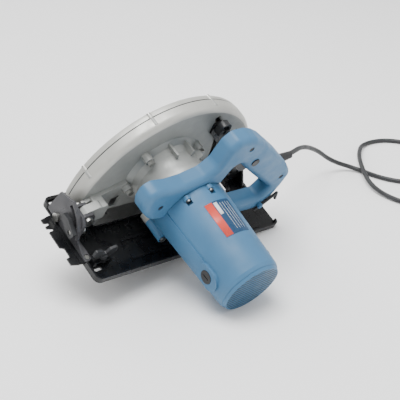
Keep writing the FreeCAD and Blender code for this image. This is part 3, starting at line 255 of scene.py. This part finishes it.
def evaluated(obj):
    """The object's mesh with its modifiers or curve shape worked out; the object goes away."""
    bpy.context.view_layer.update()
    graph = bpy.context.evaluated_depsgraph_get()
    mesh = bpy.data.meshes.new_from_object(obj.evaluated_get(graph))
    bpy.data.objects.remove(obj)
    return mesh


# ---------------------------------------------------------------- shapes in the saw's frame
def rounded(points, radii, steps=6):
    """Closed outline with each corner turned into an arc."""
    count = len(points)
    out = []
    for i in range(count):
        here = Vector(points[i])
        a, b = Vector(points[i - 1]) - here, Vector(points[(i + 1) % count]) - here
        half = a.angle(b) / 2
        reach = min(radii[i] / math.tan(half), 0.48 * a.length, 0.48 * b.length)
        radius = reach * math.tan(half)
        start, end = here + a.normalized() * reach, here + b.normalized() * reach
        centre = here + (a.normalized() + b.normalized()).normalized() * (radius / math.sin(half))
        u, v = start - centre, end - centre
        turn = u.angle_signed(v) if u.length > 1e-6 and v.length > 1e-6 else 0.0
        for k in range(steps + 1):
            angle = -turn * k / steps
            out.append((centre.x + u.x * math.cos(angle) - u.y * math.sin(angle),
                        centre.y + u.x * math.sin(angle) + u.y * math.cos(angle)))
    return out


def soften(mesh, angle=38):
    """Smooth shading, but creases stay sharp."""
    form = bmesh.new()
    form.from_mesh(mesh)
    bmesh.ops.remove_doubles(form, verts=form.verts, dist=0.01)
    bmesh.ops.recalc_face_normals(form, faces=form.faces)
    for face in form.faces:
        face.smooth = True
    for edge in form.edges:
        edge.smooth = len(edge.link_faces) == 2 and edge.calc_face_angle(0) < math.radians(angle)
    form.to_mesh(mesh)
    form.free()
    return mesh


def slab(outlines, y0, y1, grow=0.0, bevel=9.0, steps=5):
    """Round-edged solid between y0 and y1; the first outline in XZ is the rim, the others are holes."""
    data = bpy.data.curves.new("outline", "CURVE")
    data.dimensions = "2D"
    data.fill_mode = "BOTH"
    for outline in outlines:
        spline = data.splines.new("POLY")
        spline.points.add(len(outline) - 1)
        for point, (x, z) in zip(spline.points, outline):
            point.co = (x, z, 0, 1)
        spline.use_cyclic_u = True
    data.extrude = (y1 - y0) / 2 - bevel
    data.bevel_depth = bevel
    data.bevel_resolution = steps
    data.offset = grow - bevel
    shape = bpy.data.objects.new("outline", data)
    bpy.context.scene.collection.objects.link(shape)
    mesh = evaluated(shape)
    mesh.transform(Matrix.Translation((0, (y0 + y1) / 2, 0)) @ Matrix.Rotation(math.radians(90), 4, "X"))
    return mesh


def half_of(mesh, y, keep):
    """The part of a mesh on one side of a plane across Y, closed again."""
    form = bmesh.new()
    form.from_mesh(mesh)
    cut = bmesh.ops.bisect_plane(form, geom=form.verts[:] + form.edges[:] + form.faces[:],
                                 plane_co=(0, y, 0), plane_no=(0, 1, 0), dist=0.001,
                                 clear_outer=keep < 0, clear_inner=keep > 0)
    edges = [e for e in cut["geom_cut"] if isinstance(e, bmesh.types.BMEdge)]
    bmesh.ops.triangle_fill(form, use_beauty=True, edges=edges)
    half = bpy.data.meshes.new("half")
    form.to_mesh(half)
    form.free()
    return half


def lathe(profile, x, z, start=0, end=360, steps=96, closed=True):
    """Turned shape about a line along Y; profile is a list of (radius, y)."""
    form = bmesh.new()
    rings = []
    whole = end - start >= 360
    count = steps if whole else steps + 1
    for i in range(count):
        a = math.radians(start + (end - start) * i / steps)
        rings.append([form.verts.new((x + r * math.cos(a), y, z + r * math.sin(a))) for r, y in profile])
    span = len(profile) if closed else len(profile) - 1
    for i in range(count if whole else count - 1):
        here, after = rings[i], rings[(i + 1) % count]
        for j in range(span):
            k = (j + 1) % len(profile)
            form.faces.new((here[j], here[k], after[k], after[j]))
    if not whole and closed:
        form.faces.new(rings[0])
        form.faces.new(list(reversed(rings[-1])))
    bmesh.ops.remove_doubles(form, verts=form.verts, dist=0.001)
    bmesh.ops.recalc_face_normals(form, faces=form.faces)
    mesh = bpy.data.meshes.new("turned")
    form.to_mesh(mesh)
    form.free()
    return mesh


def boolean(mesh, tools, operation="DIFFERENCE"):
    """A mesh with others cut out of it, or joined to it."""
    base = bpy.data.objects.new("base", mesh)
    bpy.context.scene.collection.objects.link(base)
    others = []
    for tool in tools:
        other = bpy.data.objects.new("tool", tool)
        bpy.context.scene.collection.objects.link(other)
        others.append(other)
        change = base.modifiers.new("change", "BOOLEAN")
        change.operation = operation
        change.object = other
        change.solver = "EXACT"
    result = evaluated(base)
    for other in others:
        bpy.data.objects.remove(other)
    return result


def bar(x0, x1, y0, y1, z0, z1, bevel):
    """Box with eased edges."""
    form = bmesh.new()
    bmesh.ops.create_cube(form, size=1.0)
    bmesh.ops.scale(form, vec=(x1 - x0, y1 - y0, z1 - z0), verts=form.verts)
    bmesh.ops.translate(form, vec=((x0 + x1) / 2, (y0 + y1) / 2, (z0 + z1) / 2), verts=form.verts)
    bmesh.ops.bevel(form, geom=form.edges[:], offset=bevel, segments=2, affect="EDGES")
    mesh = bpy.data.meshes.new("bar")
    form.to_mesh(mesh)
    form.free()
    return mesh


def post(radius, x, z, y0, y1, steps=40):
    """Round post along Y with eased ends."""
    ease = 0.5
    return lathe([(0, y0), (radius - ease, y0), (radius, y0 + ease), (radius, y1 - ease),
                  (radius - ease, y1), (0, y1)], x, z, steps=steps, closed=False)


def turned_about(mesh, x, z, degrees):
    """Turn a mesh about a line along Y, positive from +X towards +Z."""
    mesh.transform(Matrix.Translation((x, 0, z)) @ Matrix.Rotation(math.radians(-degrees), 4, "Y")
                   @ Matrix.Translation((-x, 0, -z)))
    return mesh


# ---------------------------------------------------------------- handle
HANDLE = [
    (59, 79), (66, 70), (79, 66), (97, 70), (112, 85), (119, 101), (117, 118), (106, 124),
    (84, 121), (62, 123), (34, 131), (21, 146), (17, 177), (7, 188), (-12, 189), (-27, 185),
    (-44, 176), (-70, 158), (-101, 136), (-129, 114), (-148, 95), (-146, 70), (-141, 48),
    (-138, 25), (-98, 25), (-60, 27), (-10, 30),
]
HANDLE_RADII = [
    8, 9, 14, 14, 16, 16, 10, 12, 20, 20, 14, 16, 12, 9, 12, 20, 30, 60, 60, 30, 14, 30, 20, 8, 8, 20, 8,
]
LOOP = [
    (-2, 108), (-12, 149), (-40, 127), (-80, 98), (-122, 69), (-112, 50), (-60, 50), (-24, 54), (-23, 86),
]
LOOP_RADII = [8, 9, 20, 20, 9, 9, 20, 8, 12]
FRONT_GRIP = HANDLE[:9] + [(66, 119)]
FRONT_GRIP_RADII = HANDLE_RADII[:8] + [10, 6]
LOOP_Y = (48, 88)
FRONT_GRIP_Y = (33, 80)
SPLIT_Y = 64.0
SPLIT_GAP = 0.25
HANDLE_SCREWS = [(-20, 172), (-128, 92), (92, 95), (-118, 38)]
SCREW_HOLE_R = 4.0
SCREW_HOLE_Y = (78, 94)
BARREL_SEAT_R, BARREL_SEAT_Y = 49.35, (53.7, 100)
MOTOR_WAY_R, MOTOR_WAY_Y = 46.35, (20, 54)


def make_handle():
    """Two halves of the D-handle, split along its middle and bored for the motor's barrel."""
    loop = slab([rounded(HANDLE, HANDLE_RADII), rounded(LOOP, LOOP_RADII)], *LOOP_Y)
    front = slab([rounded(FRONT_GRIP, FRONT_GRIP_RADII)], *FRONT_GRIP_Y, grow=0.3)
    holes = [post(SCREW_HOLE_R, x, z, *SCREW_HOLE_Y) for x, z in HANDLE_SCREWS]
    seat = post(BARREL_SEAT_R, MOTOR_X, MOTOR_Z, *BARREL_SEAT_Y, steps=96)
    way = post(MOTOR_WAY_R, MOTOR_X, MOTOR_Z, *MOTOR_WAY_Y, steps=96)
    left = boolean(half_of(loop, SPLIT_Y + SPLIT_GAP, 1), holes + [seat])
    right = boolean(half_of(boolean(loop, [front], "UNION"), SPLIT_Y - SPLIT_GAP, -1), [seat, way])
    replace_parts(add("handle_shell_left", soften(left), BLUE), "handle_left")
    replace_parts(add("handle_shell_right", soften(right), BLUE), "handle_right")


make_handle()


# ---------------------------------------------------------------- motor end, label and case trim
FIN_COUNT = 14
FIN_PITCH = 5.3
FIN_HALF_WIDTH = 1.15
FIN_TILT = -3
FIN_REACH = 38.2
FIN_Y = (219.0, 220.3)
# Black disc behind the fins: painted shade where the vent openings look into the dark motor.
VENT_SHADE_DISC = [(0, 219.1), (34, 219.1), (37.6, 218.3), (38.4, 219.3), (38.4, 219.9), (0, 219.9)]
END_RIM = [(37.6, 216.5), (40.4, 216.5), (39.4, 219.4), (38.9, 220.2), (37.6, 220.2)]
PRINT_LIFT, PRINT_DEPTH = 0.46, 0.06
BAND_ANGLES = (-34, 10)
CASE_TRIM_ANGLES = (3, 176)
JOINT = [(CASE_R - 0.8, -4.2), (CASE_R - 0.25, -4.2), (CASE_R + 0.05, -2.8), (CASE_R - 0.8, -2.8)]


def barrel_radius(y):
    return BARREL_R0 - (BARREL_R0 - BARREL_R1) * (y - BARREL_Y0) / (BARREL_Y1 - BARREL_Y0)


def make_louvres():
    """Long fins across the motor's end, standing on a black disc inside a rim; the disc is painted shade
    for the vent openings.
    """
    add("end_vent_shade", soften(lathe(VENT_SHADE_DISC, MOTOR_X, MOTOR_Z, closed=False)), BLACK)
    add("end_rim", soften(lathe(END_RIM, MOTOR_X, MOTOR_Z)), BLUE)
    for i in range(FIN_COUNT):
        offset = (i - (FIN_COUNT - 1) / 2) * FIN_PITCH
        half = math.sqrt(FIN_REACH ** 2 - offset ** 2)
        z = MOTOR_Z + offset
        fin = bar(MOTOR_X - half, MOTOR_X + half, *FIN_Y, z - FIN_HALF_WIDTH, z + FIN_HALF_WIDTH, 0.15)
        add(f"end_fin_{i:02d}", turned_about(fin, MOTOR_X, MOTOR_Z, FIN_TILT), BLUE)


def patch(name, a0, a1, y0, y1, material):
    """Thin printed area on the barrel, by angle about the motor axis and by y."""
    r0, r1 = barrel_radius(y0) + PRINT_LIFT, barrel_radius(y1) + PRINT_LIFT
    profile = [(r0, y0), (r1, y1), (r1 + PRINT_DEPTH, y1), (r0 + PRINT_DEPTH, y0)]
    add(name, lathe(profile, MOTOR_X, MOTOR_Z, a0, a1, 24), material)


def make_side_band():
    """Raised band along the barrel's front side, running into the brush boss."""
    stations = [(74, -1), (74, 0.9), (75, 1.3), (172, 1.3), (172, -1)]
    profile = [(barrel_radius(y) + lift, y) for y, lift in stations]
    add("side_band", soften(lathe(profile, MOTOR_X, MOTOR_Z, *BAND_ANGLES, 32)), BLUE)


def make_label():
    """Plain colour areas of the rating label: a band, a box and four rules."""
    patch("label_band", 62, 75, 113.4, 162.6, RED)
    patch("label_box", 76.5, 83, 115, 133, WHITE)
    for i in range(4):
        angle = 87 + 5.5 * i
        patch(f"label_rule_{i}", angle, angle + 0.5, 117, 158, WHITE)


def make_case_trim():
    """Smooth rolled rim of the case, and the dark joint between its two halves."""
    outer_r, inner_r = CASE_R + 0.2, CASE_R - 0.6
    roll = 9
    outer = [(outer_r, -2.4), (outer_r, 6.0)]
    inner = [(inner_r, -2.4), (inner_r, 6.0)]
    for degrees in range(15, 76, 15):
        drop = roll * (1 - math.cos(math.radians(degrees)))
        out = roll * math.sin(math.radians(degrees))
        outer.append((outer_r - drop, 6.2 + out))
        inner.append((inner_r - drop, 5.4 + out))
    add("case_rim", soften(lathe(outer + inner[::-1], CASE_X, CASE_Z, *CASE_TRIM_ANGLES, 160), 50), CAST)
    add("case_joint", lathe(JOINT, CASE_X, CASE_Z, *CASE_TRIM_ANGLES, 160), BLACK)


make_louvres()
make_side_band()
make_label()
make_case_trim()


# ---------------------------------------------------------------- cord
CORD_D = 0.007
CORD_ROUTE = [
    (-0.170, -0.009, 0.101), (-0.202, -0.012, 0.100), (-0.252, -0.035, 0.088), (-0.312, -0.058, 0.056),
    (-0.357, -0.064, 0.020), (-0.391, -0.042, 0.0035), (-0.393, 0.020, 0.0035), (-0.426, 0.070, 0.0035),
    (-0.484, 0.076, 0.0035), (-0.527, 0.036, 0.0035), (-0.538, -0.024, 0.0035), (-0.519, -0.078, 0.0035),
    (-0.474, -0.095, 0.0035), (-0.424, -0.062, 0.012), (-0.385, -0.026, 0.016), (-0.352, 0.020, 0.007),
    (-0.346, 0.074, 0.0035), (-0.364, 0.120, 0.0045),
]
COIL_X, COIL_Y = -0.408, 0.150
COIL_OUTER, COIL_INNER = 0.0425, 0.0354
LAYER_LOW, LAYER_MIDDLE, LAYER_TOP = 0.0048, 0.0119, 0.0190
TURNS = [
    (COIL_OUTER, LAYER_LOW), (COIL_INNER, LAYER_LOW), (COIL_INNER, LAYER_MIDDLE),
    (COIL_OUTER, LAYER_MIDDLE), (COIL_INNER, LAYER_TOP), (COIL_OUTER, LAYER_TOP),
]
POINTS_PER_TURN = 16
CROSSING = 0.25
CORD_TAIL = [
    (COIL_X + COIL_OUTER, COIL_Y, LAYER_TOP), (COIL_X + 0.0430, COIL_Y + 0.028, 0.0170),
    (COIL_X + 0.0460, COIL_Y + 0.050, 0.0125), (COIL_X + 0.0460, COIL_Y + 0.060, 0.0125),
]


def coil_points():
    """Turns beside and on each other; the last part of a turn crosses to the next one's place."""
    points = []
    for turn, (radius, height) in enumerate(TURNS):
        following = TURNS[min(turn + 1, len(TURNS) - 1)]
        first = 1 if turn == 0 else 0
        for i in range(first, POINTS_PER_TURN):
            part = max(0.0, (i / POINTS_PER_TURN - (1 - CROSSING)) / CROSSING)
            r = radius + (following[0] - radius) * part
            z = height + (following[1] - height) * part
            a = 2 * math.pi * i / POINTS_PER_TURN
            points.append((COIL_X + r * math.cos(a), COIL_Y + r * math.sin(a), z))
    return points


def make_cord():
    """The whole lead as one smooth curve, from the strain relief to the plug."""
    points = CORD_ROUTE + coil_points() + CORD_TAIL
    data = bpy.data.curves.new("cord_line", "CURVE")
    data.dimensions = "3D"
    spline = data.splines.new("NURBS")
    spline.points.add(len(points) - 1)
    for point, place in zip(spline.points, points):
        point.co = (*place, 1)
    spline.order_u = 3
    spline.use_endpoint_u = True
    spline.resolution_u = 12
    data.bevel_depth = CORD_D / 2
    data.bevel_resolution = 5
    data.materials.append(CORD)
    flex = bpy.data.objects.new("cord_flex", data)
    bpy.context.scene.collection.objects.link(flex)
    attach(flex, "saw_body")
    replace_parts(flex, "cord", "cord_coil")


make_cord()


# ---------------------------------------------------------------- floor, light and camera
FLOOR_HALF = 6.0
SKY_STRENGTH = 0.9
LAMP_AIM = Vector((0, 0, 0.08))
LAMPS = [
    ("key", (0.3, 0.1, 2.1), 1.4, 66),
    ("fill", (-1.4, 1.6, 1.2), 1.6, 10),
    ("rim", (-0.5, -1.5, 1.3), 1.2, 12),
]
CAMERA_PLACE = Vector((0.7720, 0.8422, 0.6894))
CAMERA_AIM = Vector((-0.0092, 0.0043, 0.1000))
CAMERA_ROLL = -0.429
SENSOR_WIDTH = 36.0
LENS_TO_SENSOR = 2.4971


def make_stage():
    """Pale floor under the saw."""
    mesh = bpy.data.meshes.new("floor")
    form = bmesh.new()
    bmesh.ops.create_grid(form, x_segments=1, y_segments=1, size=FLOOR_HALF)
    form.to_mesh(mesh)
    form.free()
    mesh.materials.append(Finish("pale_floor", (250, 250, 250), 0.7).mat)
    floor = bpy.data.objects.new("floor", mesh)
    bpy.context.scene.collection.objects.link(floor)


def make_lights():
    """An even white sky and three soft lamps that point at the saw."""
    world = bpy.data.worlds.new("studio")
    world.use_nodes = True
    sky = world.node_tree.nodes["Background"]
    sky.inputs["Color"].default_value = (1, 1, 1, 1)
    sky.inputs["Strength"].default_value = SKY_STRENGTH
    bpy.context.scene.world = world
    for name, place, size, power in LAMPS:
        light = bpy.data.lights.new(name, "AREA")
        light.energy = power
        light.size = size
        lamp = bpy.data.objects.new(name, light)
        lamp.location = place
        lamp.rotation_euler = (LAMP_AIM - lamp.location).to_track_quat("-Z", "Y").to_euler()
        bpy.context.scene.collection.objects.link(lamp)


def make_camera():
    """Camera above the motor's end, looking down across the handle."""
    data = bpy.data.cameras.new("camera")
    data.sensor_width = SENSOR_WIDTH
    data.lens = SENSOR_WIDTH * LENS_TO_SENSOR
    data.clip_end = 20
    camera = bpy.data.objects.new("camera", data)
    turn = (CAMERA_AIM - CAMERA_PLACE).to_track_quat("-Z", "Y").to_matrix().to_4x4()
    roll = Matrix.Rotation(math.radians(CAMERA_ROLL), 4, "Z")
    camera.matrix_world = Matrix.Translation(CAMERA_PLACE) @ turn @ roll
    bpy.context.scene.collection.objects.link(camera)
    bpy.context.scene.camera = camera


make_stage()
make_lights()
make_camera()
